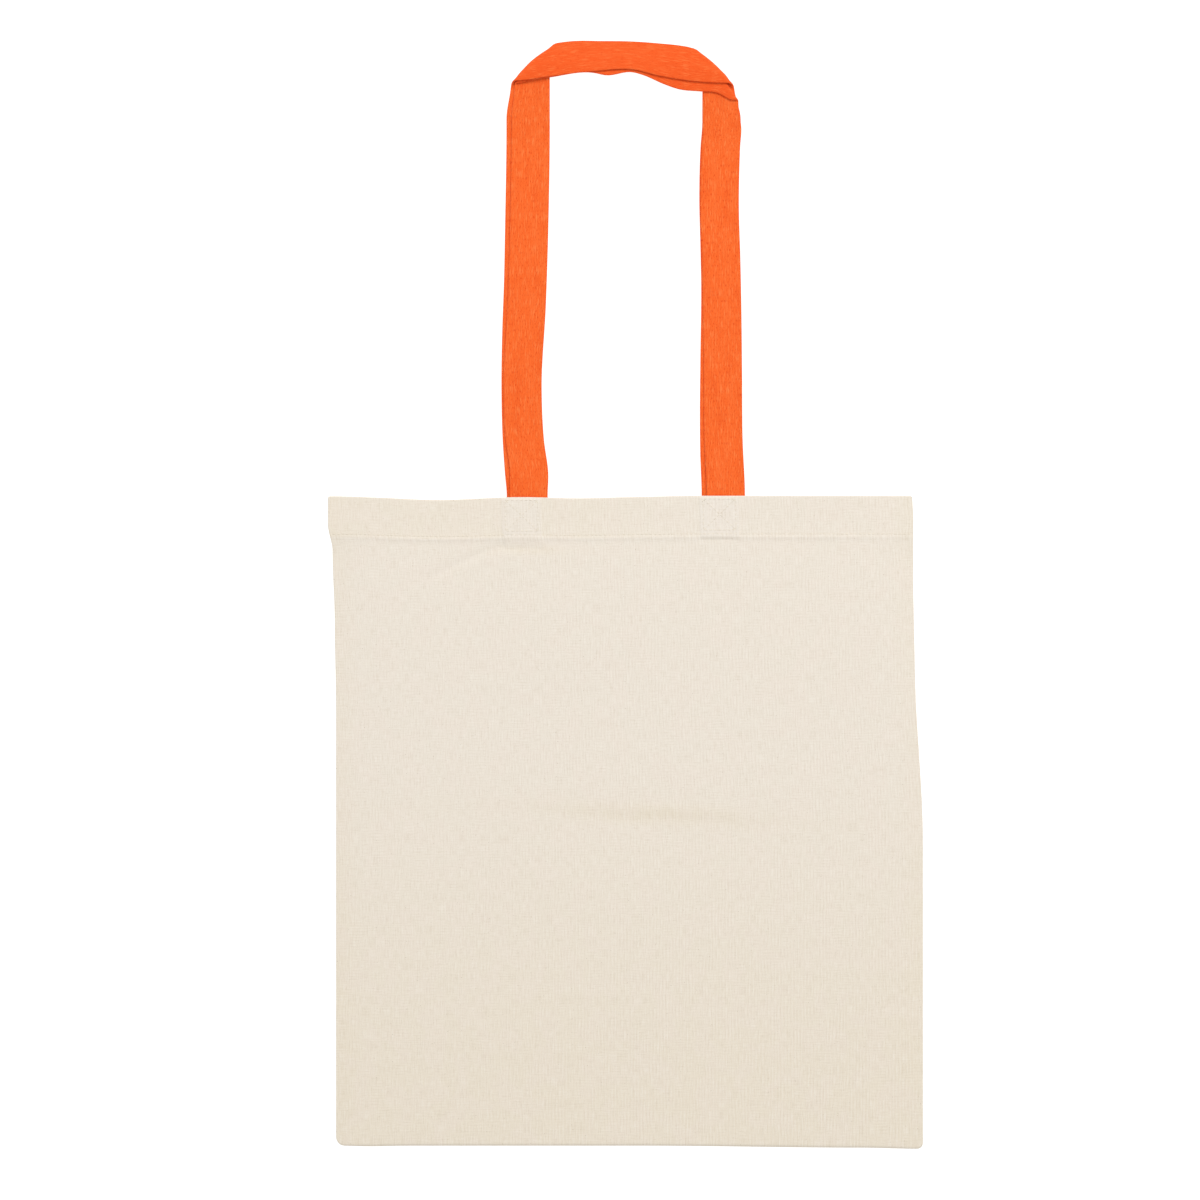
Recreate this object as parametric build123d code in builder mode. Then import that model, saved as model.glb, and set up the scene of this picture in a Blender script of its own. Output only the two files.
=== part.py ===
"""Canvas tote bag, lying flat: a body of one cloth, a stitched hem and two long handles.

Frame, in millimetres: the origin is the middle of the back panel's outer face, which is the face
that the bag lies on. +X runs to the bag's right, +Y from the bottom fold to the mouth and on to
the handles, and +Z up through the layers, from the back panel to the front panel.
"""

import os

from build123d import *

# ---------------------------------------------------------------------------- driving sizes, mm
BODY_WIDTH = 380.0  # from one side seam to the other
BODY_HEIGHT = 422.0  # from the bottom fold to the mouth
CORNER_RADIUS = 4.0  # the two bottom corners
CLOTH = 0.5  # one layer of canvas

HEM_HEIGHT = 26.0  # how far the hem is turned down inside the mouth
HEM_ROW_INSET = 1.5  # from the hem's lower edge to its row of stitches
ALLOWANCE_WIDTH = 10.0  # cloth turned inside at each side seam
SEAM_ROLL = 1.0  # thickness of the turned edge at each side
OVERLOCK_WIDTH = 1.0  # how far the overlocking stands out from a raw edge
OVERLOCK_ROUND = 0.3

STRAP_WIDTH = 25.0
STRAP_THICKNESS = 1.2
HANDLE_SPACING = 128.5  # between the middles of a handle's two legs
HANDLE_RISE = 297.0  # from the mouth to the top of a handle
HANDLE_CLEARANCE = 1.0  # from the back handle's top up to the front handle's legs
END_MARGIN = 2.0  # from a handle's sewn end to the hem's lower edge

THREAD = 0.5  # width of a row of stitches
THREAD_DEPTH = 0.2  # how deep a row lies in the cloth
BOX_INSET = 2.0  # from the edges of a handle's end to its box of stitches

MOUTH_OPENING = 12.0  # degrees that the front panel swings out
FOLD_SLACK = 5.0  # degrees of bottom fold left open beyond that swing
MOVING_GAP = 0.3  # between pieces that move past each other

# ------------------------------------------------------------------- places worked out from them
SIDE = BODY_WIDTH / 2
MOUTH = BODY_HEIGHT / 2
HEM_STACK = 2 * CLOTH  # a panel and its hem
# Between the hems lie the back handle's legs, its top, and the front handle's legs.
BODY_DEPTH = 2 * HEM_STACK + 3 * STRAP_THICKNESS + HANDLE_CLEARANCE
FOLD_RADIUS = BODY_DEPTH / 2  # the bottom fold's outer face
FOLD_CENTRE = FOLD_RADIUS - BODY_HEIGHT / 2
FOLD_SWEEP = 180 - MOUTH_OPENING - FOLD_SLACK

HEM_EDGE = MOUTH - HEM_HEIGHT
RAW_EDGE = SIDE - ALLOWANCE_WIDTH  # where the cloth turned inside a side seam ends
SEAM_STACK = 2 * CLOTH  # both panels' allowances
FRONT_PANEL = BODY_DEPTH - CLOTH  # lowest face of the front panel
FRONT_HEM = BODY_DEPTH - HEM_STACK  # lowest face of the front hem

HANDLE_END = HEM_HEIGHT - END_MARGIN  # length of strap sewn inside the hem
END_MIDDLE = MOUTH - HANDLE_END / 2
BACK_STRAP = HEM_STACK  # lowest face of the back handle's legs
FRONT_STRAP = FRONT_HEM - STRAP_THICKNESS  # lowest face of the front handle's legs
LEG = HANDLE_SPACING / 2
LEG_OUTER = LEG + STRAP_WIDTH / 2
LEG_INNER = LEG - STRAP_WIDTH / 2
HANDLE_ROOT = MOUTH + MOVING_GAP
HANDLE_TOP = MOUTH + HANDLE_RISE
HANDLE_FOLD = HANDLE_TOP - STRAP_WIDTH  # where a 45 degree fold meets its leg's outer edge

SIDES = {"left": -1, "right": 1}

os.makedirs("parts", exist_ok=True)

# ---------------------------------------------------------------------- outlines that are shared
with BuildSketch() as body_outline:
    Rectangle(BODY_WIDTH, BODY_HEIGHT)
    fillet(body_outline.vertices().group_by(Axis.Y)[0], CORNER_RADIUS)

with BuildSketch() as hem_band:
    with Locations((0, MOUTH)):
        Rectangle(2 * RAW_EDGE, HEM_HEIGHT, align=(Align.CENTER, Align.MAX))

# The row of stitches that holds the hem down.
with BuildSketch() as hem_row:
    with Locations((0, HEM_EDGE + HEM_ROW_INSET)):
        Rectangle(2 * RAW_EDGE, THREAD)

with BuildSketch() as handle_end_outline:
    Rectangle(STRAP_WIDTH, HANDLE_END)

# A box of stitches with a cross in it, which holds one end of a handle to the hem.
with BuildSketch() as box_of_stitches:
    box = offset(handle_end_outline.sketch, amount=-BOX_INSET)
    offset(box, amount=-THREAD, mode=Mode.SUBTRACT)
    for corner in box.vertices().group_by(Axis.Y)[0]:
        with BuildLine():
            Line((corner.X, corner.Y), (-corner.X, -corner.Y))
        trace(line_width=THREAD)
    add(box, mode=Mode.INTERSECT)

with BuildSketch() as box_rows:
    with Locations((-LEG, END_MIDDLE), (LEG, END_MIDDLE)):
        add(box_of_stitches.sketch)

# ------------------------------------------------------------------------------------ back panel
# The panel carries the bottom fold. The fold's roll stops short of the front panel, so that the
# front panel can swing about the roll's centre.
with BuildPart() as back_panel:
    with BuildSketch(Plane.YZ):
        with BuildLine():
            centre = (FOLD_CENTRE, FOLD_RADIUS)
            outer = CenterArc(centre, FOLD_RADIUS, 270, -FOLD_SWEEP)
            inner = CenterArc(centre, FOLD_RADIUS - CLOTH, 270, -FOLD_SWEEP)
            Line(outer @ 1, inner @ 1)
            Polyline(inner @ 0, (MOUTH, CLOTH), (MOUTH, 0), outer @ 0)
        make_face()
    extrude(amount=SIDE, both=True)
    with BuildSketch():
        add(body_outline.sketch)
    extrude(amount=BODY_DEPTH, mode=Mode.INTERSECT)
    with BuildSketch(Plane.XY.offset(CLOTH)):
        add(hem_band.sketch)
    extrude(amount=HEM_STACK - CLOTH)
    with BuildSketch():
        add(hem_row.sketch)
        add(box_rows.sketch)
    extrude(amount=THREAD_DEPTH, mode=Mode.SUBTRACT)
    with BuildSketch(Plane.XY.offset(HEM_STACK)):
        add(hem_row.sketch)
    extrude(amount=-THREAD_DEPTH, mode=Mode.SUBTRACT)
back_panel.part.label = "back_panel"
export_step(back_panel.part, "parts/back_panel.step")

# ----------------------------------------------------------------------------------- front panel
with BuildPart() as front_panel:
    with BuildSketch(Plane.XY.offset(FRONT_PANEL)):
        add(body_outline.sketch)
        with Locations((0, FOLD_CENTRE)):
            Rectangle(BODY_WIDTH, BODY_HEIGHT, align=(Align.CENTER, Align.MIN), mode=Mode.INTERSECT)
    extrude(amount=CLOTH)
    with BuildSketch(Plane.XY.offset(FRONT_HEM)):
        add(hem_band.sketch)
    extrude(amount=HEM_STACK - CLOTH)
    with BuildSketch(Plane.XY.offset(BODY_DEPTH)):
        add(hem_row.sketch)
        add(box_rows.sketch)
    extrude(amount=-THREAD_DEPTH, mode=Mode.SUBTRACT)
    with BuildSketch(Plane.XY.offset(FRONT_HEM)):
        add(hem_row.sketch)
    extrude(amount=THREAD_DEPTH, mode=Mode.SUBTRACT)
front_panel.part.label = "front_panel"
export_step(front_panel.part, "parts/front_panel.step")

# ------------------------------------------------------------------------------------ side seams
# Each seam is the turned edge that joins the panels, and both panels' allowances, which lie
# inside on the back panel. Thread is overlocked over their raw edges, below the hem.
for name, side in SIDES.items():
    with BuildPart() as side_seam:
        with BuildSketch(Plane.XZ.offset(-MOUTH)):
            with BuildLine():
                Polyline(
                    (side * SIDE, CLOTH),
                    (side * RAW_EDGE, CLOTH),
                    (side * RAW_EDGE, CLOTH + SEAM_STACK),
                    (side * (SIDE - SEAM_ROLL), CLOTH + SEAM_STACK),
                    (side * (SIDE - SEAM_ROLL), FRONT_PANEL - MOVING_GAP),
                    (side * SIDE, FRONT_PANEL - MOVING_GAP),
                    close=True,
                )
            make_face()
        extrude(amount=MOUTH - FOLD_CENTRE)
    side_seam.part.label = f"{name}_side_seam"
    export_step(side_seam.part, f"parts/{name}_side_seam.step")

    with BuildPart() as overlock:
        with BuildSketch(Plane.XZ.offset(-HEM_EDGE)):
            with Locations((side * (RAW_EDGE - OVERLOCK_WIDTH / 2), CLOTH + SEAM_STACK / 2)):
                RectangleRounded(OVERLOCK_WIDTH, SEAM_STACK, OVERLOCK_ROUND)
        extrude(amount=HEM_EDGE - FOLD_CENTRE)
    overlock.part.label = f"{name}_overlock_thread"
    export_step(overlock.part, f"parts/{name}_overlock_thread.step")

# --------------------------------------------------------------------------------- hem stitching
# Each row is two threads, the needle's on the outside and the bobbin's on the inside.
with BuildPart() as back_hem_stitching:
    with BuildSketch(Plane.XY, Plane.XY.offset(HEM_STACK - THREAD_DEPTH)):
        add(hem_row.sketch)
    extrude(amount=THREAD_DEPTH)
back_hem_stitching.part.label = "back_hem_stitching"
export_step(back_hem_stitching.part, "parts/back_hem_stitching.step")

with BuildPart() as front_hem_stitching:
    with BuildSketch(Plane.XY.offset(FRONT_HEM), Plane.XY.offset(BODY_DEPTH - THREAD_DEPTH)):
        add(hem_row.sketch)
    extrude(amount=THREAD_DEPTH)
front_hem_stitching.part.label = "front_hem_stitching"
export_step(front_hem_stitching.part, "parts/front_hem_stitching.step")

# --------------------------------------------------------------- handle ends and their stitching
# Each end lies on the inside of its hem. Its box of stitches is a needle thread in the panel's
# outer face and a bobbin thread in the end's inner face.
OUTER_THREAD = {"back": 0.0, "front": BODY_DEPTH - THREAD_DEPTH}
INNER_THREAD = {"back": BACK_STRAP + STRAP_THICKNESS - THREAD_DEPTH, "front": FRONT_STRAP}
for panel, strap in {"back": BACK_STRAP, "front": FRONT_STRAP}.items():
    for name, side in SIDES.items():
        with BuildPart() as handle_end:
            with BuildSketch(Plane.XY.offset(strap)):
                with Locations((side * LEG, END_MIDDLE)):
                    add(handle_end_outline.sketch)
            extrude(amount=STRAP_THICKNESS)
            with BuildSketch(Plane.XY.offset(INNER_THREAD[panel])):
                with Locations((side * LEG, END_MIDDLE)):
                    add(box_of_stitches.sketch)
            extrude(amount=THREAD_DEPTH, mode=Mode.SUBTRACT)
        handle_end.part.label = f"{panel}_{name}_handle_end"
        export_step(handle_end.part, f"parts/{panel}_{name}_handle_end.step")

        with BuildPart() as box_stitching:
            rows = (Plane.XY.offset(OUTER_THREAD[panel]), Plane.XY.offset(INNER_THREAD[panel]))
            with BuildSketch(*rows):
                with Locations((side * LEG, END_MIDDLE)):
                    add(box_of_stitches.sketch)
            extrude(amount=THREAD_DEPTH)
        box_stitching.part.label = f"{panel}_{name}_box_stitching"
        export_step(box_stitching.part, f"parts/{panel}_{name}_box_stitching.step")

# --------------------------------------------------------------------------------------- handles
# Outside the mouth a handle is one strap: two legs, folded over at 45 degrees at their tops so
# that the stretch between them lies one layer higher.
with BuildSketch() as handle_leg:
    with BuildLine():
        Polyline(
            (LEG_OUTER, HANDLE_ROOT),
            (LEG_OUTER, HANDLE_FOLD),
            (LEG_INNER, HANDLE_TOP),
            (LEG_INNER, HANDLE_ROOT),
            close=True,
        )
    make_face()

with BuildSketch() as handle_top:
    with BuildLine():
        Polyline(
            (-LEG_OUTER, HANDLE_FOLD),
            (-LEG_INNER, HANDLE_TOP),
            (LEG_INNER, HANDLE_TOP),
            (LEG_OUTER, HANDLE_FOLD),
            close=True,
        )
    make_face()

for panel, strap in {"back": BACK_STRAP, "front": FRONT_STRAP}.items():
    with BuildPart() as handle:
        with BuildSketch(Plane.XY.offset(strap)):
            add(handle_leg.sketch)
            mirror(handle_leg.sketch, about=Plane.YZ)
        extrude(amount=STRAP_THICKNESS)
        with BuildSketch(Plane.XY.offset(strap + STRAP_THICKNESS)):
            add(handle_top.sketch)
        extrude(amount=STRAP_THICKNESS)
    handle.part.label = f"{panel}_handle"
    export_step(handle.part, f"parts/{panel}_handle.step")
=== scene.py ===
"""Looks of a canvas tote bag that lies flat, with two long handles of orange cotton tape.

The bag is one cloth folded at the bottom, with its side seams turned inside, a hem turned down
inside the mouth, and four tape ends sewn to the inside of the hem. Lengths here are millimetres
in the frame's own axes: +X to the bag's right, +Y to the mouth and the handles, +Z up through the
layers. Meshes are scaled to metres as they are made.
"""

import logging
import math
from collections.abc import Mapping, Sequence
from dataclasses import dataclass, field
from enum import Enum
from typing import Any

import bpy
import numpy as np
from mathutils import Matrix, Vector

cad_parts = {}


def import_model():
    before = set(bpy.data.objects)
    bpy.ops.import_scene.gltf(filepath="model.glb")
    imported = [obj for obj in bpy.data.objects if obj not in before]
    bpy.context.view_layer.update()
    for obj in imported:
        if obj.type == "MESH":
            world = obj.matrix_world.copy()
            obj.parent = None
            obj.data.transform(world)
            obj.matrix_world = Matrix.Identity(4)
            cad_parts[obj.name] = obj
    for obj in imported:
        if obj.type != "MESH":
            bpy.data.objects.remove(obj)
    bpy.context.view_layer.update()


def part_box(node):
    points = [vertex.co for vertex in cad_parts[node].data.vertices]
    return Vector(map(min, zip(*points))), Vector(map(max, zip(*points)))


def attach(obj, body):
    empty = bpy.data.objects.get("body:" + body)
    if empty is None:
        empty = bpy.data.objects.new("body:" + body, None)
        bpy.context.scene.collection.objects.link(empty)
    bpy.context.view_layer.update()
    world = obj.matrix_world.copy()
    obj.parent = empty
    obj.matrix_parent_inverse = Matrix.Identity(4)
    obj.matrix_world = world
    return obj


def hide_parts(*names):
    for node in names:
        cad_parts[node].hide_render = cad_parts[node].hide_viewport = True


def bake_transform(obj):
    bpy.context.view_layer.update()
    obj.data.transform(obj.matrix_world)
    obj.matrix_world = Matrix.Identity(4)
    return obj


LOG = logging.getLogger("tote_bag")
METRE = 0.001  # metres in a millimetre
CLOTH_MAP = "Cloth"  # the map that holds each cloth's own flat coordinates, in metres
LIGHT_AND_TONE = "Tone"  # the attribute that mixes the cloth's lit cream, 1, towards a shaded yellow, 0: painted shade and highlight, and a darker hem
REVERSE = 100.0  # added to the across coordinate on a sheet's inner face
NO_LENGTH = 1e-9  # keeps a direction from being divided by nothing
WHITE = (1.0, 1.0, 1.0, 1.0)

Array = np.ndarray
Knots = Sequence[tuple[float, float]]  # a curve's places and heights


# ------------------------------------------------------------------------------ small mathematics
def ramp(value: Array | float, start: float, end: float) -> Array:
    """Eases from 0 at start to 1 at end."""
    share = np.clip((np.asarray(value, float) - start) / (end - start), 0.0, 1.0)
    return share * share * (3 - 2 * share)


def bump(value: Array | float, centre: float, width: float) -> Array:
    """A bell of height 1 at centre, which falls to about a third at width."""
    return np.exp(-(((np.asarray(value, float) - centre) / width) ** 2))


def stepped(value: Array, start: float, *steps: tuple[float, float, float]) -> Array:
    """Adds up smooth steps.

    Args:
        value: Where to read the sum.
        start: The height before the first step.
        steps: Each step's rise, and where it starts and ends.

    Returns:
        The height at each value.
    """
    return start + sum(rise * ramp(value, low, high) for rise, low, high in steps)


def through(value: Array, knots: Knots) -> Array:
    """Reads a smooth curve through a few knots.

    Args:
        value: Where to read the curve.
        knots: Pairs of place and height, with the places rising.

    Returns:
        The curve's height at each value, level beyond its two ends.
    """
    places, heights = (np.array(column, float) for column in zip(*knots))
    slopes = np.gradient(heights, places)
    slopes[[0, -1]] = 0.0
    value = np.clip(value, places[0], places[-1])
    span = np.clip(np.searchsorted(places, value, side="right") - 1, 0, len(places) - 2)
    length = places[span + 1] - places[span]
    share = (value - places[span]) / length
    return (
        heights[span] * (1 + 2 * share) * (1 - share) ** 2
        + slopes[span] * length * share * (1 - share) ** 2
        + heights[span + 1] * share**2 * (3 - 2 * share)
        + slopes[span + 1] * length * share**2 * (share - 1)
    )


def spaced(*stretches: tuple[float, float, float]) -> Array:
    """Joins evenly divided stretches into one rising list.

    Args:
        stretches: Start, end and longest step of each stretch, where each starts at the last end.

    Returns:
        The places of all the lines, each once.
    """
    lines = [
        np.linspace(start, end, max(2, math.ceil(abs(end - start) / step) + 1))
        for start, end, step in stretches
    ]
    return np.concatenate([lines[0], *(line[1:] for line in lines[1:])])


@dataclass(frozen=True)
class Ripples:
    """Soft random unevenness, made of many crossing waves."""

    seed: int
    shortest: float
    longest: float
    waves: int = 26

    def at(self, x: Array, y: Array) -> Array:
        """Adds up the waves.

        Args:
            x: Places across.
            y: Places along.

        Returns:
            Heights that mostly lie between -1 and 1.
        """
        draw = np.random.default_rng(self.seed)
        total = np.zeros(np.broadcast(x, y).shape)
        for _ in range(self.waves):
            length = draw.uniform(self.shortest, self.longest)
            heading, phase = draw.uniform(0, 2 * math.pi, 2)
            along = x * math.cos(heading) + y * math.sin(heading)
            total += np.sin(2 * math.pi * along / length + phase)
        return total / math.sqrt(2 * self.waves)


# -------------------------------------------------------------------------------- shader building
class Value:
    """A number that varies over a surface, which ordinary arithmetic extends with Math nodes."""

    def __init__(self, graph: "Graph", socket: bpy.types.NodeSocket) -> None:
        """Wraps an output socket of a graph."""
        self.graph = graph
        self.socket = socket

    def maths(self, operation: str, *others: "Value | float") -> "Value":
        """Adds one Math node whose first input is this value."""
        return self.graph.maths(operation, self, *others)

    def __add__(self, other: "Value | float") -> "Value":
        """Adds."""
        return self.maths("ADD", other)

    __radd__ = __add__

    def __sub__(self, other: "Value | float") -> "Value":
        """Subtracts."""
        return self.maths("SUBTRACT", other)

    def __rsub__(self, other: float) -> "Value":
        """Subtracts this value from a number."""
        return self.graph.maths("SUBTRACT", other, self)

    def __mul__(self, other: "Value | float") -> "Value":
        """Multiplies."""
        return self.maths("MULTIPLY", other)

    __rmul__ = __mul__

    def __truediv__(self, other: "Value | float") -> "Value":
        """Divides."""
        return self.maths("DIVIDE", other)

    def __gt__(self, other: "Value | float") -> "Value":
        """Gives 1 where this value is the greater, and 0 elsewhere."""
        return self.maths("GREATER_THAN", other)

    def __abs__(self) -> "Value":
        """Drops the sign."""
        return self.maths("ABSOLUTE")

    def floor(self) -> "Value":
        """Rounds down."""
        return self.maths("FLOOR")

    def fraction(self) -> "Value":
        """Keeps what rounding down takes away."""
        return self.maths("FRACT")

    def cosine(self) -> "Value":
        """Takes the cosine of an angle in radians."""
        return self.maths("COSINE")

    def highest(self, other: "Value | float") -> "Value":
        """Keeps the greater of two."""
        return self.maths("MAXIMUM", other)

    def zigzag(self) -> "Value":
        """Goes straight from 1 down to 0 and back to 1 in each unit."""
        return abs(self.fraction() - 0.5) * 2

    def arch(self) -> "Value":
        """Rises from 0 to 1 and falls to 0 in each unit."""
        return ((self.fraction() - 0.5) * math.pi).cosine()

    def wave(self) -> "Value":
        """Swings from 1 to -1 and back in each unit."""
        return (self * (2 * math.pi)).cosine()

    def eased(self, low: float, high: float) -> "Value":
        """Goes smoothly from 0 to 1.

        Args:
            low: The value that gives 0.
            high: The value that gives 1, which may be the lower of the two.

        Returns:
            The eased share.
        """
        settings = {"interpolation_type": "SMOOTHSTEP"}
        inputs = {"Value": self, "From Min": low, "From Max": high}
        node = self.graph.node("ShaderNodeMapRange", settings, inputs)
        return Value(self.graph, node.outputs["Result"])


class Graph:
    """The nodes of one material."""

    def __init__(self, name: str) -> None:
        """Makes an empty material that ends in one Principled shader.

        Args:
            name: The material's name.
        """
        self.material = bpy.data.materials.new(name)
        self.material.use_nodes = True
        self.tree = self.material.node_tree
        self.tree.nodes.clear()
        self.shader = self.node("ShaderNodeBsdfPrincipled")
        self.node("ShaderNodeOutputMaterial", inputs={"Surface": self.shader.outputs[0]})

    def node(
        self,
        kind: str,
        settings: Mapping[str, Any] | None = None,
        inputs: Mapping[str | int, Any] | None = None,
    ) -> bpy.types.Node:
        """Adds one node.

        Args:
            kind: The node's type.
            settings: Properties of the node, which are set before its inputs.
            inputs: A value, a wrapped value or a socket to link, for each named input.

        Returns:
            The new node.
        """
        node = self.tree.nodes.new(kind)
        for name, setting in (settings or {}).items():
            setattr(node, name, setting)
        for name, given in (inputs or {}).items():
            source = given.socket if isinstance(given, Value) else given
            if isinstance(source, bpy.types.NodeSocket):
                self.tree.links.new(source, node.inputs[name])
            else:
                node.inputs[name].default_value = source
        return node

    def maths(self, operation: str, *terms: Value | float) -> Value:
        """Adds one Math node.

        Args:
            operation: The Math node's operation.
            terms: A value or a number for each of the node's inputs, in their order.

        Returns:
            The node's result.
        """
        node = self.node("ShaderNodeMath", {"operation": operation}, dict(enumerate(terms)))
        return Value(self, node.outputs[0])

    def cloth_place(self) -> tuple[Value, Value]:
        """Reads the cloth's own flat map.

        Returns:
            The places across and along the cloth, in millimetres.
        """
        cloth = self.node("ShaderNodeUVMap", {"uv_map": CLOTH_MAP})
        parts = self.node("ShaderNodeSeparateXYZ", inputs={0: cloth.outputs[0]})
        across, along = (Value(self, parts.outputs[axis]) for axis in (0, 1))
        return across / METRE, along / METRE

    def tone(self) -> Value:
        """Returns the share of lit cream in the cloth's colour, from 0 to 1, which paints shade and
        highlight.
        """
        node = self.node("ShaderNodeAttribute", {"attribute_name": LIGHT_AND_TONE})
        return Value(self, node.outputs["Fac"])

    def noise(self, across: Value, along: Value, detail: float = 2.0) -> Value:
        """Adds noise whose cells are about one unit wide.

        Args:
            across: The place across, in cells.
            along: The place along, in cells.
            detail: How many times finer noise is added.

        Returns:
            Noise from 0 to 1.
        """
        place = self.node("ShaderNodeCombineXYZ", inputs={0: across, 1: along})
        settings = {"noise_dimensions": "2D"}
        inputs = {"Vector": place.outputs[0], "Scale": 1.0, "Detail": detail}
        node = self.node("ShaderNodeTexNoise", settings, inputs)
        return Value(self, node.outputs[0])

    def specks(self, across: Value, along: Value) -> tuple[Value, Value]:
        """Scatters points, about one in each unit.

        Args:
            across: The place across, in units.
            along: The place along, in units.

        Returns:
            The distance to the nearest point, and that point's own number from 0 to 1.
        """
        place = self.node("ShaderNodeCombineXYZ", inputs={0: across, 1: along})
        settings = {"voronoi_dimensions": "2D"}
        inputs = {"Vector": place.outputs[0], "Scale": 1.0}
        node = self.node("ShaderNodeTexVoronoi", settings, inputs)
        number = self.node("ShaderNodeSeparateColor", inputs={0: node.outputs["Color"]})
        return Value(self, node.outputs["Distance"]), Value(self, number.outputs[0])

    def tinted(self, colour: Any, tint: "Colour", amount: Value | float) -> Any:
        """Mixes a colour towards a tint.

        Args:
            colour: A colour or the socket that gives one.
            tint: What it is mixed with.
            amount: The share of the tint, from 0 to 1.

        Returns:
            The socket that gives the mixed colour.
        """
        inputs = {0: amount, 6: colour, 7: tint.linear}
        node = self.node("ShaderNodeMix", {"data_type": "RGBA"}, inputs)
        return node.outputs[2]

    def relief(self, height: Value, depth: float) -> None:
        """Feeds the shader's normal with a bump.

        Args:
            height: Relief from 0 to 1.
            depth: Millimetres that a height of 1 stands for.
        """
        inputs = {"Height": height, "Distance": depth * METRE, "Strength": 1.0}
        node = self.node("ShaderNodeBump", inputs=inputs)
        self.tree.links.new(node.outputs[0], self.shader.inputs["Normal"])

    def paint(self, colour: Any) -> None:
        """Feeds the shader's base colour."""
        self.tree.links.new(colour, self.shader.inputs["Base Color"])

    def finished(self, touch: "Touch") -> bpy.types.Material:
        """Sets what is the same all over the surface.

        Args:
            touch: How smooth and how napped the surface is.

        Returns:
            The finished material.
        """
        sockets = self.shader.inputs
        sockets["Roughness"].default_value = touch.roughness
        sockets["Specular IOR Level"].default_value = touch.gloss
        sockets["Sheen Weight"].default_value = touch.nap
        sockets["Sheen Roughness"].default_value = touch.nap_roughness
        return self.material


@dataclass(frozen=True)
class Touch:
    """How a surface takes light, the same all over it."""

    roughness: float
    gloss: float
    nap: float = 0.0
    nap_roughness: float = 0.5


@dataclass(frozen=True)
class Colour:
    """A colour as a paint chart gives it, each part from 0 to 255."""

    red: int
    green: int
    blue: int

    @property
    def linear(self) -> tuple[float, float, float, float]:
        """The colour as light adds up.

        Returns:
            Its red, green and blue from 0 to 1, with full cover.
        """
        parts = [part / 255 for part in (self.red, self.green, self.blue)]
        red, green, blue = (
            part / 12.92 if part <= 0.04045 else ((part + 0.055) / 1.055) ** 2.4
            for part in parts
        )
        return red, green, blue, 1.0


@dataclass(frozen=True)
class Canvas:
    """Unbleached plain-weave cotton: two sets of uneven yarns, flecks of seed and soft nap."""

    # The lit cream and the shaded yellow that the painted light and shade mix between.
    yellowed_and_shaded: Colour = Colour(230, 219, 199)
    fresh_and_lit: Colour = Colour(232, 224, 213)
    rosy: Colour = Colour(234, 221, 209)
    thick_yarn: Colour = Colour(243, 237, 226)
    thin_yarn: Colour = Colour(204, 190, 169)
    seed: Colour = Colour(138, 112, 80)
    warp_pitch: float = 0.56
    weft_pitch: float = 0.62
    reed_pitch: float = 2.12  # the loom's reed spaces the warp in small groups
    beat_pitch: float = 1.93
    relief: float = 0.08
    seed_spacing: float = 9.0
    seed_size: float = 0.020
    seed_share: float = 0.62  # flecks show where a speck's own number is above this
    touch: Touch = Touch(roughness=0.92, gloss=0.16, nap=0.06, nap_roughness=0.6)

    def material(self) -> bpy.types.Material:
        """Builds the finish.

        Returns:
            The finished material.
        """
        graph = Graph("canvas")
        across, along = graph.cloth_place()
        warp, weft = across / self.warp_pitch, along / self.weft_pitch
        over = ((warp.floor() + weft.floor()) / 2).fraction() > 0.25
        side = over * 2 - 1
        warp_round, weft_round = warp.arch(), weft.arch()
        crown = (warp_round + side * weft_round).highest(weft_round - side * warp_round)

        # Cell sizes across and along the cloth, in millimetres.
        warp_slub = graph.noise(across / 0.62, along / 7.5)
        weft_slub = graph.noise(across / 7.0, along / 0.66)
        grain = graph.noise(across / 0.9, along / 0.9)
        cloud = graph.noise(across / 15, along / 19, detail=1.0)

        reed = (across / self.reed_pitch + cloud * 0.6).wave()
        beat = (along / self.beat_pitch + cloud * 0.4).wave()
        marked = graph.noise(across / 13 + 40, along / 16, detail=1.0)
        ribbed = marked.eased(0.30, 0.58) * (across.eased(-150, 10) * 0.65 + 0.35)

        light = warp_slub.eased(0.48, 0.80) * 0.30 + weft_slub.eased(0.5, 0.8) * 0.18
        light = light + (reed * ribbed * 0.15 + 0.13)
        dark = warp_slub.eased(0.52, 0.22) * 0.20 + weft_slub.eased(0.5, 0.22) * 0.14
        dark = dark + grain.eased(0.5, 0.2) * 0.18 + (beat * marked.eased(0.5, 0.3) * 0.05 + 0.05)
        # Painted light and shade: the attribute mixes a shaded yellow towards a lit cream.
        fresh_and_lit = graph.tinted(self.yellowed_and_shaded.linear, self.fresh_and_lit, graph.tone())
        colour = graph.tinted(fresh_and_lit, self.rosy, cloud.eased(0.42, 0.62) * 0.26 + 0.08)
        colour = graph.tinted(colour, self.thick_yarn, light)
        colour = graph.tinted(colour, self.thin_yarn, dark)
        distance, number = graph.specks(across / self.seed_spacing, along / self.seed_spacing)
        chosen = number > self.seed_share
        fleck = distance.eased(self.seed_size * 1.6, self.seed_size * 0.4) * chosen
        colour = graph.tinted(colour, self.seed, fleck * (number * 0.6))
        graph.paint(colour)

        height = crown * 0.35 + warp_slub * 0.9 + weft_slub * 0.6 + fleck * 0.6
        graph.relief(height, self.relief)
        return graph.finished(self.touch)


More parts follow.
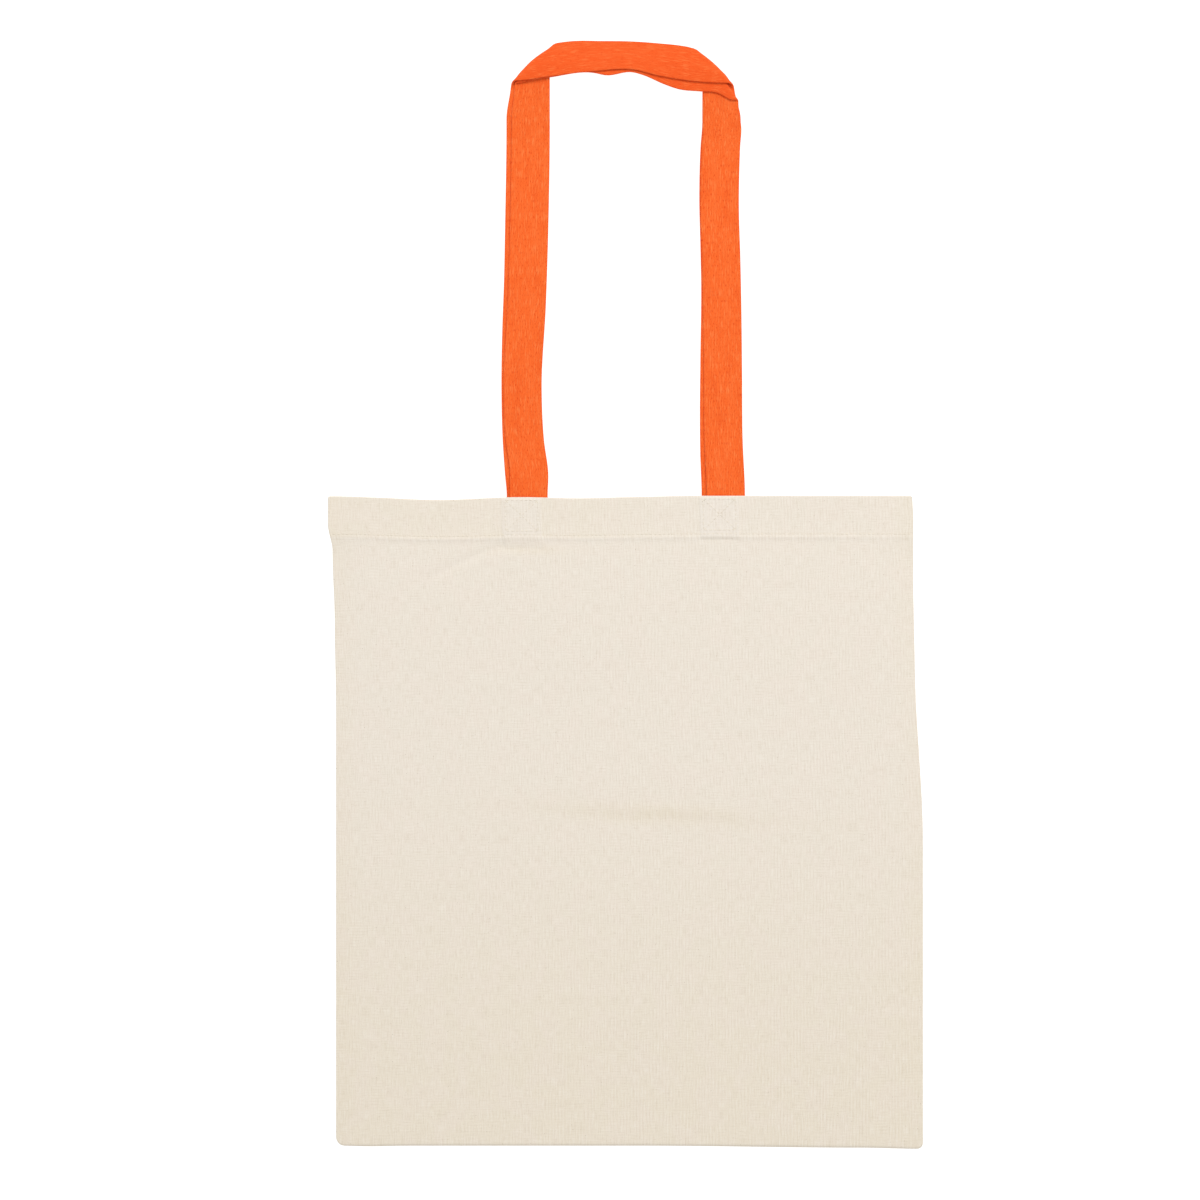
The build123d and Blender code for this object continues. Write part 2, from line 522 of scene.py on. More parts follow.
@dataclass(frozen=True)
class Tape:
    """Dyed cotton tape: fine ribs along its length, with one ribbed and one smoother face."""

    dye: Colour = Colour(246, 105, 41)
    reverse: Colour = Colour(238, 92, 34)
    worn: Colour = Colour(250, 134, 72)
    deep: Colour = Colour(214, 62, 10)
    rib_pitch: float = 1.05
    pick_pitch: float = 0.62
    relief: float = 0.11
    selvedge: tuple[float, float] = (11.6, 12.3)  # where the painted shade along the edges starts and is whole
    touch: Touch = Touch(roughness=0.88, gloss=0.14, nap=0.04, nap_roughness=0.5)

    def material(self) -> bpy.types.Material:
        """Builds the finish.

        Returns:
            The finished material.
        """
        graph = Graph("orange_tape")
        across, along = graph.cloth_place()
        ribs = across / self.rib_pitch
        rib = ribs.zigzag()
        pick = (along / self.pick_pitch + ribs.floor() * 0.37).zigzag()

        slub = graph.noise(across / 0.7, along / 7)
        dash = graph.noise(across / 0.42, along / 2.1)
        cloud = graph.noise(across / 7, along / 22, detail=1.0)
        # Painted shade in the grooves between the ribs.
        groove = rib.eased(0.70, 1.0)
        behind = across > REVERSE / 2
        ribbed = 1 - behind * 0.35
        # Painted shade along the tape's edges, for the dark lines between stacked tapes.
        edge = abs(across - behind * REVERSE).eased(*self.selvedge)

        dark = groove * 0.22 + dash.eased(0.47, 0.22) * 0.82 + cloud.eased(0.5, 0.25) * 0.12
        dark = dark + edge * 0.22
        light = slub.eased(0.5, 0.8) * 0.75 + cloud.eased(0.5, 0.78) * 0.12
        colour = graph.tinted(self.dye.linear, self.reverse, behind)
        colour = graph.tinted(colour, self.deep, dark * ribbed)
        colour = graph.tinted(colour, self.worn, light * ribbed)
        graph.paint(colour)

        height = (1 - groove) * 0.6 + (1 - pick) * 0.25 + slub * 0.6 + dash * 0.3
        graph.relief(height * ribbed, self.relief)
        return graph.finished(self.touch)


@dataclass(frozen=True)
class SewingThread:
    """Two-ply spun cotton thread, whose twist shows as slanting grooves."""

    colour: Colour = Colour(240, 232, 217)
    shade: Colour = Colour(200, 187, 160)
    twist_pitch: float = 0.45
    relief: float = 0.05
    touch: Touch = Touch(roughness=0.85, gloss=0.2)

    def material(self) -> bpy.types.Material:
        """Builds the finish.

        Returns:
            The finished material.
        """
        graph = Graph("sewing_thread")
        across, along = graph.cloth_place()
        twist = (along / self.twist_pitch + across).zigzag()
        fuzz = graph.noise(across / 0.2, along / 0.3)
        groove = twist.eased(0.6, 1.0)
        graph.paint(graph.tinted(self.colour.linear, self.shade, groove * 0.6 + fuzz * 0.15))
        graph.relief((1 - groove) * 0.7 + fuzz * 0.3, self.relief)
        return graph.finished(self.touch)


@dataclass(frozen=True)
class StudioPaper:
    """The plain white sweep that the bag lies on."""

    colour: Colour = Colour(137, 137, 137)
    glow: float = 0.97  # the sweep is lit from below too
    touch: Touch = Touch(roughness=1.0, gloss=0.0)

    def material(self) -> bpy.types.Material:
        """Builds the finish.

        Returns:
            The finished material.
        """
        graph = Graph("studio_paper")
        graph.shader.inputs["Base Color"].default_value = self.colour.linear
        graph.shader.inputs["Emission Color"].default_value = WHITE
        graph.shader.inputs["Emission Strength"].default_value = self.glow
        return graph.finished(self.touch)


@dataclass
class Wardrobe:
    """The finishes, each made once."""

    canvas: bpy.types.Material = field(default_factory=lambda: Canvas().material())
    tape: bpy.types.Material = field(default_factory=lambda: Tape().material())
    thread: bpy.types.Material = field(default_factory=lambda: SewingThread().material())


# ---------------------------------------------------------------------------------- mesh building
def new_object(
    name: str,
    points: Array,
    faces: Array,
    flat: Array,
    material: bpy.types.Material,
    hard: Array | None = None,
    tone: Array | None = None,
) -> bpy.types.Object:
    """Makes one smooth mesh object of quadrilaterals.

    Args:
        name: The object's name.
        points: Places in millimetres, one row each.
        faces: Four point numbers for each face.
        flat: The cloth coordinates of each point, in millimetres.
        material: The finish.
        hard: Which faces are shaded flat, such as a cut edge.
        tone: The share of lit cream at each point, from 0 to 1, which paints shade and highlight.

    Returns:
        The new object, linked to the scene.
    """
    mesh = bpy.data.meshes.new(name)
    mesh.from_pydata((points * METRE).tolist(), [], faces.tolist())
    cloth_map = mesh.uv_layers.new(name=CLOTH_MAP)
    cloth_map.data.foreach_set("uv", (flat[faces.ravel()] * METRE).astype(np.float32).ravel())
    smooth = np.ones(len(faces), bool) if hard is None else ~hard
    mesh.polygons.foreach_set("use_smooth", smooth)
    if tone is not None:
        light_and_tone_layer = mesh.attributes.new(LIGHT_AND_TONE, "FLOAT", "POINT")
        light_and_tone_layer.data.foreach_set("value", tone.astype(np.float32))
    mesh.materials.append(material)
    mesh.validate()
    mesh.update()
    made = bpy.data.objects.new(name, mesh)
    bpy.context.scene.collection.objects.link(made)
    LOG.info("%s: %d points, %d faces", name, len(points), len(faces))
    return made


def thick_sheet(
    name: str,
    middle: Array,
    half: Array | float,
    flat: Array,
    material: bpy.types.Material,
    keep: Array | None = None,
    tone: Array | None = None,
) -> bpy.types.Object:
    """Makes a closed sheet with a real thickness from a grid on its middle surface.

    Args:
        name: The object's name.
        middle: Places of the grid's points, in rows and columns.
        half: Half the sheet's thickness, everywhere or at each point.
        flat: The cloth coordinates of each point.
        material: The finish.
        keep: Which of the grid's cells have cloth.
        tone: The share of lit cream at each point, from 0 to 1, which paints shade and highlight.

    Returns:
        The new object.
    """
    rows, columns = middle.shape[:2]
    keep = np.ones((rows - 1, columns - 1), bool) if keep is None else keep
    normal = np.cross(np.gradient(middle, axis=1), np.gradient(middle, axis=0))
    normal /= np.maximum(np.linalg.norm(normal, axis=2, keepdims=True), NO_LENGTH)
    offset = normal * (np.broadcast_to(half, (rows, columns))[..., None])
    points = np.concatenate([(middle + offset).reshape(-1, 3), (middle - offset).reshape(-1, 3)])
    number = np.arange(rows * columns).reshape(rows, columns)
    under = number + rows * columns

    cells = np.argwhere(keep)
    i, j = cells[:, 0], cells[:, 1]
    corners = [(i, j), (i, j + 1), (i + 1, j + 1), (i + 1, j)]
    faces = [
        np.stack([number[corner] for corner in corners], axis=1),
        np.stack([under[corner] for corner in reversed(corners)], axis=1),
    ]
    framed = np.pad(keep, 1)
    beside = [framed[i, j + 1], framed[i + 1, j + 2], framed[i + 2, j + 1], framed[i + 1, j]]
    for side, neighbour in enumerate(beside):
        start, end = corners[side], corners[(side + 1) % 4]
        rim = np.stack([under[start], under[end], number[end], number[start]], axis=1)
        faces.append(rim[~neighbour])
    hard = np.concatenate(
        [np.zeros(2 * len(cells), bool), np.ones(sum(len(part) for part in faces[2:]), bool)]
    )
    faces = np.concatenate(faces)
    used, renumbered = np.unique(faces, return_inverse=True)
    across = flat.reshape(-1, 2)
    both = np.concatenate([across, across + (REVERSE, 0)])
    fresh_and_lit = None if tone is None else np.concatenate([tone.ravel()] * 2)[used]
    return new_object(
        name, points[used], renumbered.reshape(-1, 4), both[used], material, hard, fresh_and_lit
    )


@dataclass
class ThreadWork:
    """Lengths of thread that are gathered into one mesh."""

    radius: float = 0.19
    sides: int = 7
    points: list[Array] = field(default_factory=list)
    faces: list[Array] = field(default_factory=list)
    flat: list[Array] = field(default_factory=list)
    count: int = 0

    def lay(self, path: Array, upward: Array, taper: Array | None = None) -> None:
        """Adds one length of thread with closed ends.

        Args:
            path: Places along the thread's middle.
            upward: A direction across the thread at each place.
            taper: The share of full thickness at each place.
        """
        forward = np.gradient(path, axis=0)
        forward /= np.linalg.norm(forward, axis=1, keepdims=True)
        across = np.cross(forward, upward)
        across /= np.linalg.norm(across, axis=1, keepdims=True)
        upright = np.cross(across, forward)
        angle = np.linspace(0, 2 * math.pi, self.sides, endpoint=False)
        wide = self.radius * (np.ones(len(path)) if taper is None else taper)
        ring = (
            across[:, None] * np.cos(angle)[None, :, None]
            + upright[:, None] * np.sin(angle)[None, :, None]
        ) * wide[:, None, None]
        places = (path[:, None] + ring).reshape(-1, 3)
        number = np.arange(len(places)).reshape(len(path), self.sides)
        turned = np.roll(number, -1, axis=1)
        tube = np.stack([number[:-1], turned[:-1], turned[1:], number[1:]], axis=-1)
        travelled = np.concatenate([[0], np.cumsum(np.linalg.norm(np.diff(path, axis=0), axis=1))])
        flat = np.stack(
            np.broadcast_arrays(angle[None, :] / (2 * math.pi), travelled[:, None]), axis=-1
        )
        self.points.append(places)
        self.faces.append(tube.reshape(-1, 4) + self.count)
        self.flat.append(flat.reshape(-1, 2))
        self.count += len(places)

    def cut(self, name: str, material: bpy.types.Material) -> bpy.types.Object:
        """Makes the gathered thread into one object."""
        gathered = (np.concatenate(part) for part in (self.points, self.faces, self.flat))
        return new_object(name, *gathered, material)


# ------------------------------------------------------------------------------ how the bag lies
class Panel(Enum):
    """The bag's two faces, named as the bodies that they ride on."""

    BACK = "back"
    FRONT = "front"


class Half(Enum):
    """The two halves of a front piece, by the sign of their X."""

    LEFT = -1
    RIGHT = 1


@dataclass(frozen=True)
class Sizes:
    """The bag's sizes, as the frame holds them."""

    side: float  # half the bag's width
    bottom: float
    mouth: float
    leg: float  # from the middle line to the middle of a handle's leg
    strap_half: float
    tab_low: float  # lowest end of the tape inside the hem
    handle_top: float

    @classmethod
    def read(cls) -> "Sizes":
        """Measures the nodes that set the sizes.

        Returns:
            The sizes, in millimetres.
        """
        nodes = ("back_panel", "front_panel", "front_right_handle_end", "back_handle")
        back, front, tab, handle = ([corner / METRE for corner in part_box(node)] for node in nodes)
        return cls(
            side=-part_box("left_side_seam")[0].x / METRE,
            bottom=back[0].y,
            mouth=front[1].y,
            leg=(tab[0].x + tab[1].x) / 2,
            strap_half=(tab[1].x - tab[0].x) / 2,
            tab_low=tab[0].y,
            handle_top=handle[1].y,
        )


SWAY = Ripples(5, 55, 150)  # long and short unevenness of the front
RUMPLE = Ripples(6, 22, 50)
PUCKER = Ripples(7, 4.5, 11)  # cloth that the hem's stitches draw up
BACK_SWAY = Ripples(8, 40, 110)
WANDER = Ripples(9, 9, 40)  # how stitches stray from their line
TAPE_SWAY = Ripples(12, 60, 140)

# The crease from folding the bag in half: places across, and where it crosses them.
FOLD_LINE = ((-184, 6), (-110, 9.5), (-55, 9.3), (-16, 6), (49, 3.4), (88, 0.5), (150, -1.5))


@dataclass(frozen=True)
class SoftCrease:
    """A faint straight crease that runs up the front."""

    middle: float
    low: float
    high: float
    depth: float
    width: float = 2.2
    fade: float = 18.0  # length over which each end fades

    def valley(self, x: Array, y: Array) -> Array:
        """Returns its depth at each place.

        Args:
            x: Places across.
            y: Places along.

        Returns:
            The depth, which is 0 away from the crease.
        """
        ends = ramp(y, self.low, self.low + self.fade)
        ends = ends * (1 - ramp(y, self.high - self.fade, self.high))
        return self.depth * ends * bump(x - self.middle, 0, self.width)


SOFT_CREASES = (
    SoftCrease(0, 70, 145, 0.12),
    SoftCrease(-95, 112, 152, 0.12),
    SoftCrease(-53, -100, -58, 0.10),
    SoftCrease(118, -60, 40, 0.07),
)


@dataclass(frozen=True)
class Lie:
    """The shape that the bag takes as it lies: its outline from above and its height."""

    sizes: Sizes
    cloth: float = 0.5
    hem_height: float = 26.0
    hem_row: float = 24.5  # from the mouth to the row of hem stitches
    hem_step: float = 0.24  # how far the hem stands above the cloth below it
    mouth_rise: float = 0.45  # how far the hem rises towards the mouth
    hem_face: float = 6.15
    body_face: float = 4.4
    tab_rise: float = 0.45
    side_gap: float = 2.9  # thickness of the bag at its side edges
    hem_side_gap: float = 4.1
    slope: float = 50.0  # width of the stretch that falls to each side edge
    left_corner: float = 5.2
    right_corner: float = 3.4
    unevenness: float = 0.16
    roundness: float = 2.4  # how quickly the face levels off inside that stretch
    ridge: float = 0.21  # how far the cloth stands up along the hem's lower edge
    dimple: float = 0.02  # how far the row of stitches pulls the cloth down
    pucker: float = 0.07  # how far the cloth beside the row is drawn up
    tab_reach: tuple[float, float] = (6.6, 0.6)  # how far each tape end shows below the hem
    tab_dip: float = 0.20  # how far the cloth is held down below the right tape end
    fold_depth: tuple[float, float] = (0.06, 0.62)  # of the half fold, all over and in its middle
    swoop_depth: float = 0.46
    slant_depth: float = 0.10

    @property
    def hem_line(self) -> float:
        """Where the hem's lower edge lies."""
        return self.sizes.mouth - self.hem_height

    @property
    def row_line(self) -> float:
        """Where the row of hem stitches lies."""
        return self.sizes.mouth - self.hem_row

    def place(self, x: Array, y: Array) -> tuple[Array, Array]:
        """Moves flat places to where they lie in the bag's slightly skewed outline.

        Args:
            x: Places across the true rectangle.
            y: Places along it.

        Returns:
            The places across and along the outline as it lies.
        """
        s = self.sizes
        left = stepped(y, 2.3, (-0.9, 70, 135), (-1.4, 130, 176), (-2.9, 176, 193))
        right = stepped(y, 3.5, (-5.2, -14, 104), (-1.1, 90, 160), (-0.7, 196, s.mouth))
        share = np.clip((x + s.side) / (2 * s.side), 0, 1)
        top = stepped(x, 0.4, (-0.4, -185, -160), (0.6, 10, 48))
        top = top - 2.1 * bump(x, -118, 34) - 1.0 * bump(x, -27, 26)
        low = stepped(x, 0.0, (-1.3, 10, 150), (-0.8, 150, 188)) - 0.4 * bump(x, -168, 14)
        corner = self.corner(x)
        lifted = top * ramp(y, 150, s.mouth) + low * (1 - ramp(y, s.bottom, -150))
        lifted = lifted + corner * (1 - ramp(y, s.bottom, s.bottom + 22))
        return x + left * (1 - share) + right * share, y + lifted

    def corner(self, x: Array) -> Array:
        """Rounds the lower corners.

        Args:
            x: Places across the true rectangle.

        Returns:
            How far the outline rises above the bottom edge.
        """
        radius = np.where(x < 0, self.left_corner, self.right_corner)
        inward = np.clip(radius - (self.sizes.side - np.abs(x)), 0, radius)
        return radius - np.sqrt(radius**2 - inward**2)

    def gap(self, y: Array) -> Array:
        """Returns the bag's thickness at its side edges."""
        return self.side_gap + (self.hem_side_gap - self.side_gap) * ramp(y, 170, 190)

    def fold_line(self, x: Array) -> Array:
        """Returns where the crease from folding the bag in half crosses it."""
        return through(x, FOLD_LINE)

    def creases(self, x: Array, y: Array) -> Array:
        """Shapes the valleys that folding and handling left.

        Args:
            x: Places across the true rectangle.
            y: Places along it.

        Returns:
            Heights of 0 and below.
        """
        height = -self.half_fold(x, y) - self.swoop(x, y)
        for crease in SOFT_CREASES:
            height = height - crease.valley(x, y)
        slant = (y + 8) + 0.82 * (x + 128)
        reach = ramp(x, -134, -124) * (1 - ramp(x, -104, -92))
        return height - self.slant_depth * reach * bump(slant, 0, 3.0)

    def half_fold(self, x: Array, y: Array) -> Array:
        """Shapes the crease from folding the bag in half, steep above and shallow below.

        Args:
            x: Places across the true rectangle.
            y: Places along it.

        Returns:
            Its depth.
        """
        above = y - self.fold_line(x)
        least, middle = self.fold_depth
        steep = 1 - ramp(above, -4.5, 4.5)
        shallow = bump(np.maximum(-above, 0), 0, 42)
        return (least + middle * bump(x, 20, 60)) * steep * shallow

    def swoop(self, x: Array, y: Array) -> Array:
        """Shapes the curved pull that runs up to the left tape end.

        Args:
            x: Places across the true rectangle.
            y: Places along it.

        Returns:
            Its depth.
        """
        line = 152 + 26.5 * ramp(x, -150, -75)
        seen = ramp(x, -135, -112) * (1 - ramp(x, -66, -44))
        return self.swoop_depth * seen * bump(y - line, 0, 3.0)

    def face(self, x: Array, y: Array) -> Array:
        """Returns the height of the front's outer face.

        Args:
            x: Places across the true rectangle.
            y: Places along it.

        Returns:
            The height above the surface that the bag lies on.
        """
        s = self.sizes
        crown = self.body_face + (self.hem_face - self.body_face) * ramp(y, 40, 188)
        crown = crown + self.mouth_rise * ramp(y, 190, s.mouth)
        inward = np.clip((s.side - np.abs(x)) / self.slope, 0, 1)
        edge = self.gap(y)
        height = edge + (crown - edge) * (1 - (1 - inward) ** self.roundness)
        settled = 0.4 + 0.6 * inward
        height = height + (self.hem_relief(y) - self.stitch_dimples(x, y)) * settled
        body = 1 - ramp(y, self.row_line - 8, self.row_line)
        sway = SWAY.at(x, y) * 0.42 + RUMPLE.at(x, y) * 0.14
        height = height + self.unevenness * sway * inward * (0.35 + 1.2 * body)
        height = height + self.creases(x, y) * inward**0.4
        drawn_up = self.pucker * PUCKER.at(x, y * 0.25) * bump(y, self.row_line, 5.0)
        return height + drawn_up + self.tab_relief(x, y)

    def hem_relief(self, y: Array) -> Array:
        """Shapes the step and the ridge at the hem's lower edge.

        Args:
            y: Places along the true rectangle.

        Returns:
            The height that they add.
        """
        step = self.hem_step * (1 - ramp(y, self.hem_line - 4.6, self.hem_line - 0.4))
        return self.ridge * bump(y, self.hem_line - 0.5, 1.15) - step

    def stitch_dimples(self, x: Array, y: Array) -> Array:
        """Shapes the groove that the row of stitches pulls into the hem.

        Args:
            x: Places across the true rectangle.
            y: Places along it.

        Returns:
            Its depth.
        """
        return (self.dimple + 0.03 * PUCKER.at(x, y * 0.25)) * bump(y, self.row_line, 0.7)

    def tab_relief(self, x: Array, y: Array) -> Array:
        """Raises the cloth over the two tape ends.

        Args:
            x: Places across the true rectangle.
            y: Places along it.

        Returns:
            The height that they add.
        """
        s = self.sizes
        below_mouth = 1 - ramp(y, s.mouth - 2, s.mouth)
        held = ramp(x, 48, 55) * (1 - ramp(x, 70, 77))
        height = -self.tab_dip * held * bump(y, self.hem_line - 2.0, 1.3)
        for half, reach in zip(Half, self.tab_reach):
            beside = np.abs(x - half.value * s.leg)
            across = 1 - ramp(beside, s.strap_half - 0.6, s.strap_half + 0.9)
            low = self.hem_line - reach
            along = ramp(y, low - 2.0, low + 1.4) * below_mouth
            height = height + self.tab_rise * across * along
        return height

    def tone(self, x: Array, y: Array) -> Array:
        """Returns the share of lit cream in the front's colour, from a shaded yellow, 0, to lit
        cream, 1.

        Args:
            x: Places across the true rectangle.
            y: Places along it.

        Returns:
            The share at each place.
        """
        s = self.sizes
        # Painted shade: darker and yellower towards the bottom.
        fresh_and_lit = 0.05 + 0.70 * ramp(y, s.bottom, 70)
        # Painted shade in the crease from folding the bag in half.
        fresh_and_lit = fresh_and_lit - (0.06 + 0.58 * bump(x, 16, 62)) * bump(y - self.fold_line(x), 0.2, 6.2)
        # Painted shade along the side edges, where the face rounds down.
        fresh_and_lit = fresh_and_lit - 0.30 * (1 - np.clip((s.side - np.abs(x)) / 16, 0, 1))
        # Darker over the hem, most towards the left.
        hem = ramp(y, self.hem_line - 1, self.hem_line + 1)
        fresh_and_lit = fresh_and_lit - hem * (0.34 - 0.26 * ramp(x, -60, 60))
        # Painted shade in a band below the left tape end.
        fresh_and_lit = fresh_and_lit - 0.55 * bump(y, self.hem_line - 8.2, 3.2) * bump(x, -60, 24)
        # Painted highlight over the raised cloth on the two tape ends.
        for half in Half:
            beside = np.abs(x - half.value * s.leg)
            tab = (1 - ramp(beside, s.strap_half - 1, s.strap_half + 1)) * hem
            fresh_and_lit = fresh_and_lit + 0.45 * tab
        return np.clip(fresh_and_lit, 0, 1)


# --------------------------------------------------------------------------------- the body cloth
@dataclass(frozen=True)
class Columns:
    """Lines that run up the cloth, from one side to the other.

    Each line has a place across the flat part, an angle round the turned-in edge and a length
    along the seam allowance behind it.
    """

    across: Array
    turn: Array
    behind: Array
    sign: Array

    @classmethod
    def half(cls, sign: int, reach: float, allowance: float) -> "Columns":
        """Makes the lines of one half of the cloth, closer beside the edges of a tape end.

        Args:
            sign: The half's side, by the sign of its X.
            reach: How far the cloth lies flat from the middle line.
            allowance: The seam allowance's length behind the turned-in edge.

        Returns:
            The lines from left to right.
        """
        flat = spaced(
            (0, 0.03, 0.03),
            (0.03, 48, 2.4),
            (48, 54, 0.6),
            (54, 74, 2.0),
            (74, 80, 0.6),
            (80, 172, 2.4),
            (172, reach, 1.2),
        )
        turn = np.linspace(0, math.pi, 9)[1:]
        behind = np.linspace(0, allowance, 5)[1:]
        parts = (
            np.concatenate([flat, np.full(len(turn) + len(behind), reach)]),
            np.concatenate([np.zeros(len(flat)), turn, np.full(len(behind), math.pi)]),
            np.concatenate([np.zeros(len(flat) + len(turn)), behind]),
            np.full(len(flat) + len(turn) + len(behind), float(sign)),
        )
        return cls(*(part if sign > 0 else part[::-1] for part in parts))

    def joined(self, other: "Columns") -> "Columns":
        """Puts the lines of the right half after these, with the middle line once.

        Args:
            other: The right half's lines.

        Returns:
            The lines of the whole width.
        """
        mine = (self.across, self.turn, self.behind, self.sign)
        theirs = (other.across, other.turn, other.behind, other.sign)
        return Columns(*(np.concatenate([a, b[1:]]) for a, b in zip(mine, theirs)))


@dataclass(frozen=True)
class Rows:
    """Lines that run across the cloth, from its bottom fold to its raw edge inside the hem.

    Each line has a place along the bag, a depth behind the outer face, an angle round the bottom
    fold (or a quarter turn past it on the flat), a length along the cut cloth, and the part of the
    cloth that it belongs to.
    """

    along: Array
    depth: Array
    angle: Array
    cut: Array
    zone: Array


class Zone(Enum):
    """Parts of the cloth along its length."""

    FOLD = 0
    FLAT = 1
    HEM = 2


@dataclass
class BodyCloth:
    """The bag's body: front and back in one kind of cloth, with turned-in seams and a hem."""

    lie: Lie
    wardrobe: Wardrobe
    allowance: float = 9.5
    hem_turn: float = 0.3  # radius of the hem's two folds, at the middle of the cloth
    raw_turn: float = 7.0  # width of the raw edge that is folded into the hem
    fold_lap: float = 0.55  # how far the back's cloth passes inside the front's at the bottom
    seam_end: float = 184.0
    hinge: float = -207.7  # the bottom fold starts here
    cut_width: float = 0.400
    cut_length: float = 0.459
    blend_end: float = 85.0

    edge_turn: float = 0.6  # how far short of the sides the cloth starts to turn in

    @property
    def reach(self) -> float:
        """Half the width that lies flat between the turned-in edges."""
        return self.lie.sizes.side - self.edge_turn

    def rows(self, panel: Panel) -> Rows:
        """Lays out the lines across one panel.

        Args:
            panel: Which face of the bag.

        Returns:
            The lines, from the bottom fold up.
        """
        start, end, flat_angle = (200, 90, 90) if panel is Panel.FRONT else (165, 270, 270)
        angle = np.linspace(start, end, 15)[:-1]
        travelled = np.abs(angle - end) / 180 * math.pi * 1.9
        s = self.lie.sizes
        top = s.mouth - self.hem_turn - self.lie.cloth / 2
        row = self.lie.row_line
        flat = spaced(
            (self.hinge, self.hinge + 10, 0.9),
            (self.hinge + 10, -12, 2.6),
            (-12, 14, 1.1),
            (14, 148, 2.4),
            (148, row - 5, 1.3),
            (row - 5, row + 5, 0.45),
            (row + 5, top - 3, 1.4),
            (top - 3, top, 0.6),
        )
        turn = np.linspace(0, math.pi, 7)[1:]
        low = self.lie.hem_line + self.hem_turn + self.lie.cloth / 2
        down = spaced((top, row + 9, 2.2), (row + 9, row + 4, 0.9), (row + 4, low, 0.9))[1:]
        up = np.linspace(low, low + self.raw_turn, 5)[1:]
        ply = 2 * self.hem_turn
        deep = ply + ply * (1 - ramp(down, row + 4, row + 9))
        along = (flat, top + self.hem_turn * np.sin(turn), down)
        along = (*along, low - self.hem_turn * np.sin(turn), up)
        depth = (flat * 0, self.hem_turn * (1 - np.cos(turn)), deep)
        depth = (*depth, 2 * ply - self.hem_turn * (1 - np.cos(turn)), up * 0 + ply)
        places = np.concatenate(along)
        depths = np.concatenate(depth)
        steps = np.hypot(np.diff(places), np.diff(depths))
        cut = np.concatenate([self.hinge - travelled, [self.hinge], self.hinge + np.cumsum(steps)])
        zones = [Zone.FOLD] * len(angle) + [Zone.FLAT] * len(flat)
        zones += [Zone.HEM] * (len(places) - len(flat))
        return Rows(
            np.concatenate([np.full(len(angle), self.hinge), places]),
            np.concatenate([angle * 0, depths]),
            np.concatenate([angle, np.full(len(places), float(flat_angle))]),
            cut,
            np.array([zone.value for zone in zones]),
        )

    def middle(self, panel: Panel, rows: Rows, columns: Columns) -> Array:
        """Places the middle surface of a panel's cloth.

        Args:
            panel: Which face of the bag.
            rows: The lines across.
            columns: The lines up.

        Returns:
            One place for each crossing of two lines.
        """
        along, turned = rows.along[:, None], columns.turn[None, :]
        across = (columns.sign * columns.across)[None, :]
        x_flat = np.broadcast_to(across, (len(rows.along), len(columns.across)))
        y_flat = np.broadcast_to(along, x_flat.shape)
        face = self.lie.face(x_flat, y_flat)
        radius = (self.lie.gap(along) / 2 - 0.55) / 2
        slack = (self.lie.sizes.side - radius) - self.reach
        x = columns.across[None, :] + slack * ramp(columns.across[None, :], 170, self.reach)
        x = x + radius * np.sin(turned) - columns.behind[None, :]
        x = np.broadcast_to(x * columns.sign[None, :], x_flat.shape)
        depth = rows.depth[:, None] + radius * (1 - np.cos(turned)) + self.lie.cloth / 2

        half = face / 2
        centre = self.lie.sizes.bottom + half
        folded = rows.zone[:, None] == Zone.FOLD.value
        bend = np.radians(rows.angle)[:, None]
        lapped = 1 - ramp(rows.angle[:, None], 208, 224) if panel is Panel.BACK else 0.0
        arm = np.maximum(half - depth - self.fold_lap * lapped, 0.12)
        y = np.where(folded, centre + arm * np.cos(bend), y_flat)
        near = 1 - ramp(y_flat, self.hinge, self.hinge + 13)
        y = np.where(folded, y, y_flat + (centre - self.hinge) * near)
        lying = face - depth if panel is Panel.FRONT else depth + self.dimples(x_flat, y_flat)
        z = np.where(folded, half + arm * np.sin(bend), lying)
        x, y = self.lie.place(x, y)
        return np.stack([x, y, z], axis=-1)

    def dimples(self, x: Array, y: Array) -> Array:
        """Shapes the back's unevenness.

        Args:
            x: Places across the true rectangle.
            y: Places along it.

        Returns:
            How far the back stands off the surface that it lies on.
        """
        inward = np.clip((self.lie.sizes.side - np.abs(x)) / 30, 0, 1)
        ends = ramp(y, self.hinge, self.hinge + 30)
        return 0.10 * (1 + BACK_SWAY.at(x, y)) * inward * ends

    def kept(self, rows: Rows, columns: Columns) -> Array:
        """Says which cells between the lines have cloth.

        Args:
            rows: The lines across.
            columns: The lines up.

        Returns:
            One answer for each cell.
        """
        turn = np.maximum(columns.turn[:-1], columns.turn[1:])[None, :]
        behind = np.maximum(columns.behind[:-1], columns.behind[1:])[None, :]
        zone = np.where(rows.zone[:-1] == Zone.FOLD.value, 0, rows.zone[1:])[:, None]
        keep = (zone != Zone.HEM.value) | (turn == 0)
        keep &= (zone != Zone.FOLD.value) | (turn <= math.pi / 2 + 0.01)
        seamed = (rows.along[:-1, None] < self.seam_end) & (zone == Zone.FLAT.value)
        return keep & (seamed | (behind == 0))

